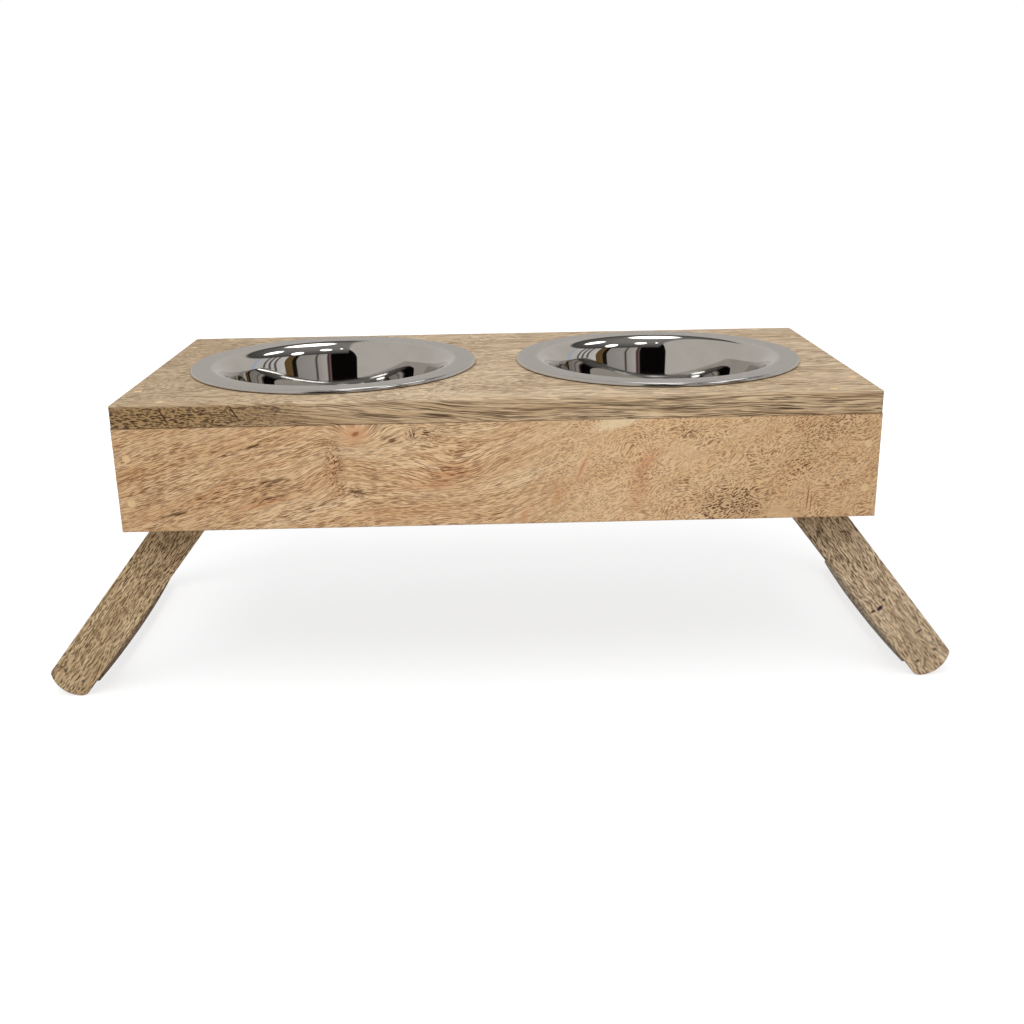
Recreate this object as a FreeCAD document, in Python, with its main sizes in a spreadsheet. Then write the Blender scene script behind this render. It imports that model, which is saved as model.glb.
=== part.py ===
import FreeCAD, Part
import os
import re
import Sketcher
from FreeCAD import Rotation, Vector

# Elevated dog feeder: a shallow wooden box without a bottom, two lift-out steel bowls in its top board,
# and two U-shaped leg frames that swing out on screws inside the box and fold up flat into it.
# Millimetres. The origin is on the floor under the middle of the box, +X to the right, +Z up, front at -Y.

# Driving dimensions: name, value in millimetres or degrees, and what it measures.
SIZES = (
    ("top_thickness", 18.5, "top board"),
    ("apron_height", 86.0, "boards round the box"),
    ("apron_thickness", 20.0, "boards round the box"),
    ("corner_round", 3.0, "upright corners of the top board"),
    ("edge_round", 2.0, "upper edge of the top board"),
    ("arris_round", 1.2, "eased edges of the aprons and legs"),
    ("rim_radius", 127.0, "outside of the bowl's rim"),
    ("rim_gap", 37.0, "between the rims of the two bowls"),
    ("end_margin", 32.5, "bowl's rim to the end of the box"),
    ("side_margin", 25.5, "bowl's rim to the front or back of the box"),
    ("rim_bend", 2.6, "bend of the turned-down rim"),
    ("flange_rise", 3.6, "bowl's flange above the top board"),
    ("flange_width", 16.0, "bowl's rim to the bend into its wall"),
    ("mouth_bend", 19.0, "bend from the flange into the wall"),
    ("bowl_depth", 80.0, "flange down to the inside of the base"),
    ("base_bend", 30.0, "bend from the wall into the base"),
    ("wall_lean", 11.0, "bowl wall from the vertical, degrees"),
    ("bowl_steel", 0.8, "sheet of the bowl"),
    ("seat_gap", 0.15, "under the rim of a seated bowl"),
    ("well_gap", 2.5, "round the bowl in the top board's hole"),
    ("leg_length", 228.0, "pivot axis to the tip of the foot"),
    ("leg_width", 36.0, "leg, seen from the front"),
    ("leg_thickness", 18.0, "leg, front to back"),
    ("leg_splay", 38.0, "open leg from the vertical, degrees"),
    ("pivot_height", 30.0, "pivot axis above the aprons' lower edge"),
    ("foot_crown", 25.0, "radius of the foot's end"),
    ("foot_heel_round", 8.0, "inner corner of the foot, which stands on the floor"),
    ("foot_toe_round", 3.0, "outer corner of the foot"),
    ("stop_gap", 0.3, "open leg to the end apron's lower edge"),
    ("bar_thickness", 15.0, "crossbar, along the leg"),
    ("bar_setback", 14.0, "tip of the foot to the crossbar"),
    ("bar_inset", 2.0, "crossbar behind the leg's outer edge"),
    ("bar_proud", 2.0, "crossbar's ends proud of the leg's inner edge"),
    ("bar_bow", 3.0, "bow of the crossbar's inner side"),
    ("bar_round", 3.0, "long edges of the crossbar"),
    ("pivot_screw_radius", 2.5, "shank of the pivot screw"),
    ("pivot_screw_bite", 14.0, "pivot screw in the apron"),
    ("pivot_tip", 4.0, "pointed end of the pivot screw"),
    ("pivot_head_radius", 5.0, "pan head"),
    ("pivot_head_height", 3.4, "pan head"),
    ("pivot_head_side", 1.2, "straight side of the pan head"),
    ("recess_reach", 2.6, "cross recess in the pan head, from its middle"),
    ("recess_width", 1.2, "cross recess in the pan head"),
    ("recess_depth", 1.9, "cross recess in the pan head"),
    ("washer_radius", 7.0, "washers on the pivot screw"),
    ("washer_thickness", 1.2, "washers on the pivot screw"),
    ("side_play", 0.15, "between a leg and each of its washers"),
    ("running_fit", 0.05, "radial, leg and washers on the pivot screw"),
    ("plug_radius", 3.2, "filled screw hole"),
    ("plug_depth", 4.0, "filler over a screw head"),
    ("screw_radius", 2.0, "screws that hold the box together"),
    ("screw_length", 38.0, "those screws, under the head"),
    ("screw_head_radius", 2.9, "those screws"),
    ("screw_head_height", 2.4, "those screws"),
    ("wood_fit", 0.03, "radial, screws, plugs and brads in wood"),
    ("corner_screw_inset", 24.5, "corner screws from an apron's long edges"),
    ("top_screw_end", 38.0, "screws into a long apron, from the box's end"),
    ("top_screw_side", 52.5, "screws into an end apron, from the box's front or back"),
    ("brad_radius", 0.9, "foot brads"),
    ("brad_length", 38.0, "foot brads"),
    ("brad_head_radius", 1.5, "foot brads"),
    ("brad_head_height", 0.8, "foot brads"),
    ("brad_spacing", 17.5, "between the two brads of a foot"),
    ("brad_setback", 18.0, "tip of the foot to the brads"),
)

# Sizes and places that follow from the driving dimensions.
FOLLOWING_SIZES = (
    # The box is made to the bowls that it carries.
    ("bowl_spacing", "2 * rim_radius + rim_gap"),
    ("box_length", "bowl_spacing + 2 * (rim_radius + end_margin)"),
    ("box_depth", "2 * (rim_radius + side_margin)"),
    ("half_length", "box_length / 2"),
    ("half_depth", "box_depth / 2"),
    ("half_width", "leg_width / 2"),
    ("half_spacing", "bowl_spacing / 2"),
    # Foot: centre of the heel's rounding below the pivot, along the leg and across it.
    ("heel_across", "half_width - foot_heel_round"),
    ("crown_centre", "leg_length - foot_crown"),
    ("heel_along", "crown_centre + sqrt((foot_crown - foot_heel_round) ^ 2 - heel_across ^ 2)"),
    ("foot_corner", "crown_centre + sqrt(foot_crown ^ 2 - half_width ^ 2)"),
    # Heights above the floor, which the heels of the open legs touch.
    ("pivot_z", "heel_along * cos(leg_splay) + heel_across * sin(leg_splay) + foot_heel_round"),
    ("apron_low_z", "pivot_z - pivot_height"),
    ("board_low_z", "apron_low_z + apron_height"),
    ("board_high_z", "board_low_z + top_thickness"),
    # The open leg leans on the lower inner edge of the end apron.
    ("end_inner_x", "half_length - apron_thickness"),
    ("stop_offset", "(half_width + stop_gap + pivot_height * sin(leg_splay)) / cos(leg_splay)"),
    ("pivot_x", "end_inner_x - stop_offset"),
    ("inner_y", "half_depth - apron_thickness"),
    ("leg_face_y", "inner_y - washer_thickness - side_play"),
    ("leg_back_y", "leg_face_y - leg_thickness"),
    ("head_washer_y", "washer_thickness + leg_thickness + 2 * side_play"),
    ("pivot_head_y", "head_washer_y + washer_thickness"),
    ("pivot_head_top", "pivot_head_y + pivot_head_height"),
    ("recess_floor", "pivot_head_top - recess_depth"),
    ("recess_arm", "recess_width / 2"),
    ("head_dome", "pivot_head_height - pivot_head_side"),
    ("head_dome_radius", "(pivot_head_radius ^ 2 + head_dome ^ 2) / (2 * head_dome)"),
    ("pivot_bore", "pivot_screw_radius + running_fit"),
    ("pivot_pilot", "pivot_screw_radius + wood_fit"),
    # Screws that hold the box together, each sunk under a plug.
    ("head_floor", "plug_depth + screw_head_height"),
    ("screw_reach", "head_floor + screw_length"),
    ("end_pilot_depth", "screw_reach - apron_thickness"),
    ("top_pilot_depth", "screw_reach - top_thickness"),
    ("sunk_hole_diameter", "2 * (plug_radius + wood_fit)"),
    ("screw_hole_diameter", "2 * (screw_radius + wood_fit)"),
    ("screw_pilot", "screw_radius + wood_fit"),
    ("corner_screw_x", "half_length - apron_thickness / 2"),
    ("corner_screw_high", "apron_height - corner_screw_inset"),
    ("apron_middle", "apron_thickness / 2"),
    ("top_screw_x", "half_length - top_screw_end"),
    ("top_screw_y", "half_depth - top_screw_side"),
    ("long_apron_y", "half_depth - apron_thickness / 2"),
    # Bowl: its inner profile, then the same profile one sheet thickness further out.
    ("flange_start", "rim_radius - flange_width"),
    ("mouth_radius", "flange_start - mouth_bend * cos(wall_lean)"),
    ("wall_head_z", "flange_rise - mouth_bend * (1 - sin(wall_lean))"),
    ("base_z", "flange_rise - bowl_depth"),
    ("wall_foot_z", "base_z + base_bend * (1 - sin(wall_lean))"),
    ("wall_foot_r", "mouth_radius - (wall_head_z - wall_foot_z) * tan(wall_lean)"),
    ("base_r", "wall_foot_r - base_bend * cos(wall_lean)"),
    ("steel_out", "bowl_steel * cos(wall_lean)"),
    ("steel_down", "bowl_steel * sin(wall_lean)"),
    ("rim_start", "rim_radius - rim_bend"),
    ("rim_bend_z", "flange_rise - rim_bend"),
    # The well clears the bend of the bowl at the height of the top board's upper face.
    ("bend_across", "sqrt((mouth_bend - bowl_steel) ^ 2 - (mouth_bend - flange_rise) ^ 2)"),
    ("well_radius", "flange_start - bend_across + well_gap"),
    # Crossbar, in its leg frame: the leg hangs down from the pivot axis.
    ("bar_low", "leg_length - bar_setback"),
    ("bar_outer", "half_width - bar_inset"),
    ("bar_inner", "half_width + bar_proud"),
    ("bar_bow_radius", "(leg_back_y ^ 2 + bar_bow ^ 2) / (2 * bar_bow)"),
    ("brad_along", "leg_length - brad_setback"),
    ("brad_across", "brad_spacing / 2"),
    ("brad_hole_diameter", "2 * (brad_radius + wood_fit)"),
    ("brad_head_diameter", "2 * (brad_head_radius + wood_fit)"),
    ("brad_pilot", "brad_radius + wood_fit"),
    ("brad_bite", "brad_length - leg_thickness"),
)

LEFT = -1
RIGHT = 1
FRONT = -1
REAR = 1
SIDE_NAMES = {LEFT: "left", RIGHT: "right"}
END_NAMES = {FRONT: "front", REAR: "rear"}
HALF_TURN = 180.0

doc = FreeCAD.newDocument("DogFeeder")
sheet = doc.addObject("Spreadsheet::Sheet", "Sizes")
for row, (alias, value, note) in enumerate(SIZES, start=1):
    sheet.set(f"A{row}", note)
    sheet.set(f"B{row}", str(value))
    sheet.setAlias(f"B{row}", alias)
for row, (alias, formula) in enumerate(FOLLOWING_SIZES, start=len(SIZES) + 1):
    sheet.set(f"B{row}", "=" + formula)
    sheet.setAlias(f"B{row}", alias)
doc.recompute()

pieces = []


def linked(formula):
    """Point the sheet's words in a formula at the sheet, as an expression elsewhere needs."""
    return re.sub(r"[a-z_]+", lambda word: "Sizes." + word.group(0), formula)


def measure(formula):
    """Present value of a formula in the sheet's words."""
    return float(sheet.evalExpression(linked(formula)))


def add_piece(label):
    """One physical piece, or a group of like fasteners, as a body of its own."""
    body = doc.addObject("PartDesign::Body", label)
    body.Label = label
    pieces.append(body)
    return body


def place(body, x, y, z, turn=0.0, lean=0.0):
    """Put a piece where it belongs: leaned about Y, then turned about Z, with its origin at x, y, z."""
    upright_turn = Rotation(Vector(0, 0, 1), turn)
    body.Placement.Rotation = upright_turn.multiply(Rotation(Vector(0, 1, 0), lean))
    for axis, formula in (("x", x), ("y", y), ("z", z)):
        body.setExpression(f"Placement.Base.{axis}", linked(formula))


def add_sketch(body, name, plane, level="0"):
    """Sketch on one of the body's own planes, raised to a level along that plane's normal."""
    sketch = body.newObject("Sketcher::SketchObject", name)
    support = next(item for item in body.Origin.OriginFeatures if item.Role == plane)
    sketch.AttachmentSupport = [(support, "")]
    sketch.MapMode = "FlatFace"
    sketch.setExpression("AttachmentOffset.Base.z", linked(level))
    return sketch


def bind(sketch, kind, points, formula):
    """Add a dimension that follows the sheet."""
    number = sketch.addConstraint(Sketcher.Constraint(kind, *points, measure(formula)))
    sketch.setExpression(f"Constraints[{number}]", linked(formula))


def draw_outline(sketch, corners, bends=None):
    """Closed outline. A bend gives the radius and turn (1 left, -1 right) of the side after its corner."""
    bends = bends or {}
    points = [Vector(measure(x), measure(y), 0) for x, y in corners]
    ends = []
    for index, start in enumerate(points):
        stop = points[(index + 1) % len(points)]
        if index not in bends:
            side = sketch.addGeometry(Part.LineSegment(start, stop), False)
            ends.append((side, 1, 2))
            continue
        radius_formula, turn = bends[index]
        radius = measure(radius_formula)
        chord = stop.sub(start)
        left = Vector(-chord.y, chord.x, 0).normalize()
        rise = (radius ** 2 - (chord.Length / 2) ** 2) ** 0.5
        middle = start.add(chord.multiply(1 / 2)).add(left.multiply(rise * turn))
        circle = Part.Circle(middle, Vector(0, 0, 1), radius)
        first, last = (start, stop) if turn > 0 else (stop, start)
        arc = Part.ArcOfCircle(circle, circle.parameter(first), circle.parameter(last))
        side = sketch.addGeometry(arc, False)
        ends.append((side, 1, 2) if turn > 0 else (side, 2, 1))
        bind(sketch, "Radius", (side,), radius_formula)
    for index, (side, start, stop) in enumerate(ends):
        next_side, next_start, next_stop = ends[(index + 1) % len(ends)]
        sketch.addConstraint(Sketcher.Constraint("Coincident", side, stop, next_side, next_start))
        bind(sketch, "DistanceX", (-1, 1, side, start), corners[index][0])
        bind(sketch, "DistanceY", (-1, 1, side, start), corners[index][1])


def draw_rectangle(sketch, left, right, low, high):
    draw_outline(sketch, ((left, low), (right, low), (right, high), (left, high)))


def draw_circles(sketch, centres, radius):
    for x, y in centres:
        circle = Part.Circle(Vector(measure(x), measure(y), 0), Vector(0, 0, 1), measure(radius))
        number = sketch.addGeometry(circle, False)
        bind(sketch, "DistanceX", (-1, 1, number, 3), x)
        bind(sketch, "DistanceY", (-1, 1, number, 3), y)
        bind(sketch, "Radius", (number,), radius)


def extrude(body, sketch, length, reverse=False):
    pad = body.newObject("PartDesign::Pad", "Pad")
    pad.Profile = sketch
    pad.Reversed = reverse
    pad.setExpression("Length", linked(length))
    doc.recompute()


def revolve(body, sketch):
    """Turn a profile once round the sketch's upright axis."""
    turned = body.newObject("PartDesign::Revolution", "Revolution")
    turned.Profile = sketch
    turned.ReferenceAxis = (sketch, ["V_Axis"])
    doc.recompute()


def check_cut(body, feature, before):
    """Recompute a cut and make sure that it took material away."""
    doc.recompute()
    if not feature.Shape.Volume < before:
        raise RuntimeError(f"{body.Label}: {feature.Name} cuts nothing")


def cut(body, sketch, depth=None, reverse=False):
    """Cut a sketch's outlines to a depth, or right through."""
    before = body.Tip.Shape.Volume
    pocket = body.newObject("PartDesign::Pocket", "Pocket")
    pocket.Profile = sketch
    pocket.Reversed = reverse
    if depth is None:
        pocket.Type = "ThroughAll"
    else:
        pocket.setExpression("Length", linked(depth))
    check_cut(body, pocket, before)


def sink(body, sketch, diameter, head_diameter, head_depth, reverse=False):
    """Through holes with a flat-bottomed recess for a head."""
    doc.recompute()
    before = body.Tip.Shape.Volume
    hole = body.newObject("PartDesign::Hole", "Hole")
    hole.Profile = sketch
    hole.Reversed = reverse
    hole.ThreadType = "None"
    hole.DepthType = "ThroughAll"
    hole.HoleCutType = "Counterbore"
    hole.setExpression("Diameter", linked(diameter))
    hole.setExpression("HoleCutDiameter", linked(head_diameter))
    hole.setExpression("HoleCutDepth", linked(head_depth))
    check_cut(body, hole, before)


def repeat_at_other_end(body):
    """Mirror the last cut to the other end of a piece that lies along Y."""
    last_cut = body.Tip
    before = last_cut.Shape.Volume
    mirrored = body.newObject("PartDesign::Mirrored", "OtherEnd")
    mirrored.Originals = [last_cut]
    middle = next(item for item in body.Origin.OriginFeatures if item.Role == "XZ_Plane")
    mirrored.MirrorPlane = (middle, [""])
    body.Tip = mirrored
    check_cut(body, mirrored, before)


def round_edges(body, wanted, radius):
    """Fillet the edges of the body's last feature that the test accepts."""
    base = body.Tip
    edges = [f"Edge{number}" for number, edge in enumerate(base.Shape.Edges, start=1) if wanted(edge)]
    if not edges:
        raise RuntimeError(f"{body.Label}: no edge to round")
    fillet = body.newObject("PartDesign::Fillet", "Fillet")
    fillet.Base = (base, edges)
    fillet.setExpression("Radius", linked(radius))
    doc.recompute()


def same(first, second):
    return abs(first - second) < measure("running_fit") / 2


def all_at(edge, axis, level):
    """True where a whole edge lies in the plane at this level of an axis."""
    low = getattr(edge.BoundBox, axis + "Min")
    high = getattr(edge.BoundBox, axis + "Max")
    return same(low, level) and same(high, level)


# Top board: one plank with two round wells for the bowls and a sunk screw hole over each fixing.
SCREWS_OVER_LONG_APRONS = tuple(
    (f"{x} * top_screw_x", f"{y} * long_apron_y") for x in (LEFT, RIGHT) for y in (FRONT, REAR)
)
SCREWS_OVER_END_APRONS = tuple(
    (f"{x} * corner_screw_x", f"{y} * top_screw_y") for x in (LEFT, RIGHT) for y in (FRONT, REAR)
)
TOP_SCREWS = SCREWS_OVER_LONG_APRONS + SCREWS_OVER_END_APRONS

board = add_piece("top_board")
outline = add_sketch(board, "BoardOutline", "XY_Plane")
draw_rectangle(outline, "-half_length", "half_length", "-half_depth", "half_depth")
extrude(board, outline, "top_thickness")
round_edges(board, lambda edge: not all_at(edge, "Z", edge.BoundBox.ZMin), "corner_round")
round_edges(board, lambda edge: all_at(edge, "Z", measure("top_thickness")), "edge_round")
wells = add_sketch(board, "Wells", "XY_Plane", "top_thickness")
draw_circles(wells, (("-half_spacing", "0"), ("half_spacing", "0")), "well_radius")
cut(board, wells)
holes = add_sketch(board, "ScrewHoles", "XY_Plane", "top_thickness")
draw_circles(holes, TOP_SCREWS, "screw_pilot")
sink(board, holes, "screw_hole_diameter", "sunk_hole_diameter", "head_floor")
place(board, "0", "0", "board_low_z")

# Top screws and the filler plugs over them, one of each at every fixing.
screws = add_piece("top_screws")
heads = add_sketch(screws, "Heads", "XY_Plane", "top_thickness - head_floor")
draw_circles(heads, TOP_SCREWS, "screw_head_radius")
extrude(screws, heads, "screw_head_height")
shanks = add_sketch(screws, "Shanks", "XY_Plane", "top_thickness - head_floor")
draw_circles(shanks, TOP_SCREWS, "screw_radius")
extrude(screws, shanks, "screw_length", reverse=True)
place(screws, "0", "0", "board_low_z")

plugs = add_piece("top_plugs")
discs = add_sketch(plugs, "Discs", "XY_Plane", "top_thickness - plug_depth")
draw_circles(discs, TOP_SCREWS, "plug_radius")
extrude(plugs, discs, "plug_depth")
place(plugs, "0", "0", "board_low_z")

# Front and rear aprons: full-length boards, flush with the top. In each one's own frame the outer face is
# at y = 0 and the inner face one thickness further in. The rear one is the front one turned round.
CORNER_SCREWS = tuple(
    (f"{x} * corner_screw_x", height)
    for x in (LEFT, RIGHT)
    for height in ("corner_screw_inset", "corner_screw_high")
)


def outer_arrises(edge):
    """Lower and end edges of an apron's outer face."""
    on_face = all_at(edge, "Y", 0)
    upper = all_at(edge, "Z", measure("apron_height"))
    return on_face and not upper


for end in (FRONT, REAR):
    turn = 0.0 if end == FRONT else HALF_TURN
    apron = add_piece(END_NAMES[end] + "_apron")
    outline = add_sketch(apron, "ApronOutline", "XZ_Plane")
    draw_rectangle(outline, "-half_length", "half_length", "0", "apron_height")
    extrude(apron, outline, "apron_thickness", reverse=True)
    round_edges(apron, outer_arrises, "arris_round")
    holes = add_sketch(apron, "CornerScrewHoles", "XZ_Plane")
    draw_circles(holes, CORNER_SCREWS, "screw_pilot")
    sink(apron, holes, "screw_hole_diameter", "sunk_hole_diameter", "head_floor")
    pilots = add_sketch(apron, "TopScrewPilots", "XY_Plane", "apron_height")
    draw_circles(pilots, (("-top_screw_x", "apron_middle"), ("top_screw_x", "apron_middle")), "screw_pilot")
    cut(apron, pilots, "top_pilot_depth")
    pivots = add_sketch(apron, "PivotPilots", "XZ_Plane", "-apron_thickness")
    draw_circles(pivots, (("-pivot_x", "pivot_height"), ("pivot_x", "pivot_height")), "pivot_pilot")
    cut(apron, pivots, "pivot_screw_bite", reverse=True)
    place(apron, "0", f"{end} * half_depth", "apron_low_z", turn)

    screws = add_piece(END_NAMES[end] + "_apron_screws")
    heads = add_sketch(screws, "Heads", "XZ_Plane", "-plug_depth")
    draw_circles(heads, CORNER_SCREWS, "screw_head_radius")
    extrude(screws, heads, "screw_head_height", reverse=True)
    shanks = add_sketch(screws, "Shanks", "XZ_Plane", "-head_floor")
    draw_circles(shanks, CORNER_SCREWS, "screw_radius")
    extrude(screws, shanks, "screw_length", reverse=True)
    place(screws, "0", f"{end} * half_depth", "apron_low_z", turn)

    plugs = add_piece(END_NAMES[end] + "_apron_plugs")
    discs = add_sketch(plugs, "Discs", "XZ_Plane")
    draw_circles(discs, CORNER_SCREWS, "plug_radius")
    extrude(plugs, discs, "plug_depth", reverse=True)
    place(plugs, "0", f"{end} * half_depth", "apron_low_z", turn)

# End aprons: short boards between the long ones, whose lower inner edges stop the open legs.
for side in (LEFT, RIGHT):
    turn = 0.0 if side == RIGHT else HALF_TURN
    apron = add_piece(SIDE_NAMES[side] + "_end_apron")
    outline = add_sketch(apron, "ApronOutline", "YZ_Plane")
    draw_rectangle(outline, "-inner_y", "inner_y", "0", "apron_height")
    extrude(apron, outline, "apron_thickness", reverse=True)
    round_edges(apron, lambda edge: all_at(edge, "X", 0) and all_at(edge, "Z", 0), "arris_round")
    pilots = add_sketch(apron, "CornerScrewPilots", "XZ_Plane", "inner_y")
    heights = ("corner_screw_inset", "corner_screw_high")
    draw_circles(pilots, tuple(("-apron_middle", height) for height in heights), "screw_pilot")
    cut(apron, pilots, "end_pilot_depth")
    repeat_at_other_end(apron)
    pilots = add_sketch(apron, "TopScrewPilots", "XY_Plane", "apron_height")
    places = (("-apron_middle", "-top_screw_y"), ("-apron_middle", "top_screw_y"))
    draw_circles(pilots, places, "screw_pilot")
    cut(apron, pilots, "top_pilot_depth")
    place(apron, f"{side} * half_length", "0", "apron_low_z", turn)

# Bowls: spun steel with a turned-down rim that rests on the top board.
BOWL_CORNERS = (
    ("0", "base_z"),
    ("base_r", "base_z"),
    ("wall_foot_r", "wall_foot_z"),
    ("mouth_radius", "wall_head_z"),
    ("flange_start", "flange_rise"),
    ("rim_start", "flange_rise"),
    ("rim_radius", "rim_bend_z"),
    ("rim_radius", "seat_gap"),
    ("rim_radius - bowl_steel", "seat_gap"),
    ("rim_radius - bowl_steel", "rim_bend_z"),
    ("rim_start", "flange_rise - bowl_steel"),
    ("flange_start", "flange_rise - bowl_steel"),
    ("mouth_radius + steel_out", "wall_head_z - steel_down"),
    ("wall_foot_r + steel_out", "wall_foot_z - steel_down"),
    ("base_r", "base_z - bowl_steel"),
    ("0", "base_z - bowl_steel"),
)
BOWL_BENDS = {
    1: ("base_bend", 1),
    3: ("mouth_bend", -1),
    5: ("rim_bend", -1),
    9: ("rim_bend - bowl_steel", 1),
    11: ("mouth_bend - bowl_steel", 1),
    13: ("base_bend + bowl_steel", -1),
}
for side in (LEFT, RIGHT):
    bowl = add_piece(SIDE_NAMES[side] + "_bowl")
    profile = add_sketch(bowl, "BowlProfile", "XZ_Plane")
    draw_outline(profile, BOWL_CORNERS, BOWL_BENDS)
    revolve(bowl, profile)
    place(bowl, f"{side} * half_spacing", "0", "board_high_z")

# Pivots: at each corner a pan-head screw holds a leg to the inside of a long apron, with a washer on both
# sides of the leg. In each piece's own frame the apron's inner face is at y = 0.
SCREW_CORNERS = (
    ("0", "-pivot_screw_bite"),
    ("pivot_screw_radius", "pivot_tip - pivot_screw_bite"),
    ("pivot_screw_radius", "pivot_head_y"),
    ("pivot_head_radius", "pivot_head_y"),
    ("pivot_head_radius", "pivot_head_y + pivot_head_side"),
    ("0", "pivot_head_top"),
)
RECESS_CORNERS = (
    ("recess_reach", "-recess_arm"),
    ("recess_reach", "recess_arm"),
    ("recess_arm", "recess_arm"),
    ("recess_arm", "recess_reach"),
    ("-recess_arm", "recess_reach"),
    ("-recess_arm", "recess_arm"),
    ("-recess_reach", "recess_arm"),
    ("-recess_reach", "-recess_arm"),
    ("-recess_arm", "-recess_arm"),
    ("-recess_arm", "-recess_reach"),
    ("recess_arm", "-recess_reach"),
    ("recess_arm", "-recess_arm"),
)
for side in (LEFT, RIGHT):
    for end in (FRONT, REAR):
        corner = f"{SIDE_NAMES[side]}_{END_NAMES[end]}"
        turn = 0.0 if end == FRONT else HALF_TURN
        spot = (f"{side} * pivot_x", f"{end} * inner_y", "pivot_z")

        screw = add_piece(corner + "_pivot_screw")
        profile = add_sketch(screw, "ScrewProfile", "XY_Plane")
        draw_outline(profile, SCREW_CORNERS, {4: ("head_dome_radius", 1)})
        revolve(screw, profile)
        recess = add_sketch(screw, "CrossRecess", "XZ_Plane", "-recess_floor")
        draw_outline(recess, RECESS_CORNERS)
        cut(screw, recess, "recess_depth")
        place(screw, *spot, turn)

        for name, level in (("spacer", "0"), ("head", "-head_washer_y")):
            washer = add_piece(f"{corner}_{name}_washer")
            ring = add_sketch(washer, "Ring", "XZ_Plane", level)
            draw_circles(ring, (("0", "0"),), "washer_radius")
            draw_circles(ring, (("0", "0"),), "pivot_bore")
            extrude(washer, ring, "washer_thickness", reverse=True)
            place(washer, *spot, turn)

# Leg frames: in its own frame a leg hangs down from the pivot axis, with its outer face at y = 0. The foot's
# inner corner, the heel, is well rounded, because the open leg stands on it.
LEG_CORNERS = (
    ("half_width", "0"),
    ("0", "half_width"),
    ("-half_width", "0"),
    ("-half_width", "-foot_corner"),
    ("half_width", "-foot_corner"),
)
LEG_BENDS = {0: ("half_width", 1), 1: ("half_width", 1), 3: ("foot_crown", 1)}


def foot_edge(across):
    """Test for the corner edge of a foot on one side of the leg."""
    def wanted(edge):
        return all_at(edge, "X", measure(across)) and all_at(edge, "Z", measure("-foot_corner"))
    return wanted


def face_edges(edge):
    """Outline of a leg's two broad faces."""
    return all_at(edge, "Y", 0) or all_at(edge, "Y", measure("leg_thickness"))


for side in (LEFT, RIGHT):
    for end in (FRONT, REAR):
        corner = f"{SIDE_NAMES[side]}_{END_NAMES[end]}"
        turn = 0.0 if end == FRONT else HALF_TURN
        outward = side if end == FRONT else -side
        lean = -outward * measure("leg_splay")
        spot = (f"{side} * pivot_x", f"{end} * leg_face_y", "pivot_z")
        brads = (("-brad_across", "-brad_along"), ("brad_across", "-brad_along"))

        leg = add_piece(corner + "_leg")
        outline = add_sketch(leg, "LegOutline", "XZ_Plane")
        draw_outline(outline, LEG_CORNERS, LEG_BENDS)
        extrude(leg, outline, "leg_thickness", reverse=True)
        round_edges(leg, foot_edge(f"{-outward} * half_width"), "foot_heel_round")
        round_edges(leg, foot_edge(f"{outward} * half_width"), "foot_toe_round")
        round_edges(leg, face_edges, "arris_round")
        bore = add_sketch(leg, "PivotBore", "XZ_Plane")
        draw_circles(bore, (("0", "0"),), "pivot_bore")
        cut(leg, bore)
        holes = add_sketch(leg, "BradHoles", "XZ_Plane")
        draw_circles(holes, brads, "brad_pilot")
        sink(leg, holes, "brad_hole_diameter", "brad_head_diameter", "brad_head_height")
        place(leg, *spot, turn, lean)

        nails = add_piece(corner + "_foot_brads")
        heads = add_sketch(nails, "Heads", "XZ_Plane")
        draw_circles(heads, brads, "brad_head_radius")
        extrude(nails, heads, "brad_head_height", reverse=True)
        shanks = add_sketch(nails, "Shanks", "XZ_Plane")
        draw_circles(shanks, brads, "brad_radius")
        extrude(nails, shanks, "brad_length", reverse=True)
        place(nails, *spot, turn, lean)

    # Crossbar: nailed between the two feet of a frame, with a slightly bowed inner side.
    inner = -side
    bar = add_piece(SIDE_NAMES[side] + "_crossbar")
    outline = add_sketch(bar, "BarOutline", "XY_Plane", "-bar_low")
    bar_corners = (
        (f"{-inner} * bar_outer", f"{-inner} * leg_back_y"),
        (f"{-inner} * bar_outer", f"{inner} * leg_back_y"),
        (f"{inner} * bar_inner", f"{inner} * leg_back_y"),
        (f"{inner} * bar_inner", f"{-inner} * leg_back_y"),
    )
    draw_outline(outline, bar_corners, {2: ("bar_bow_radius", -1)})
    extrude(bar, outline, "bar_thickness")
    round_edges(bar, lambda edge: edge.BoundBox.YLength > measure("leg_back_y"), "bar_round")
    pilots = add_sketch(bar, "BradPilots", "XZ_Plane", "leg_back_y")
    draw_circles(pilots, brads, "brad_pilot")
    cut(bar, pilots, "brad_bite")
    repeat_at_other_end(bar)
    place(bar, f"{side} * pivot_x", "0", "pivot_z", 0.0, -side * measure("leg_splay"))

# Check the whole document, then write one file for each piece.
doc.recompute()
for item in doc.Objects:
    if "Invalid" in item.State or "Error" in item.State:
        raise RuntimeError(f"{item.Label} failed: {item.State}")
for piece in pieces:
    if piece.Shape.isNull() or not piece.Shape.isValid() or not piece.Shape.Solids:
        raise RuntimeError(f"{piece.Label} has no valid solid")

os.makedirs("parts", exist_ok=True)
for piece in pieces:
    piece.Shape.exportStep(f"parts/{piece.Label}.step")
    print(f"{piece.Label}: {len(piece.Shape.Solids)} solid, {piece.Shape.Volume:.1f} mm3")
whole = Part.makeCompound([piece.Shape for piece in pieces]).optimalBoundingBox()
print(f"{len(pieces)} pieces, {whole.XLength:.1f} x {whole.YLength:.1f} x {whole.ZLength:.1f} mm")
print(f"lowest point {whole.ZMin:.3f} mm, top of the board {measure('board_high_z'):.2f} mm")
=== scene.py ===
import bpy
import math
from mathutils import Matrix, Vector


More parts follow.
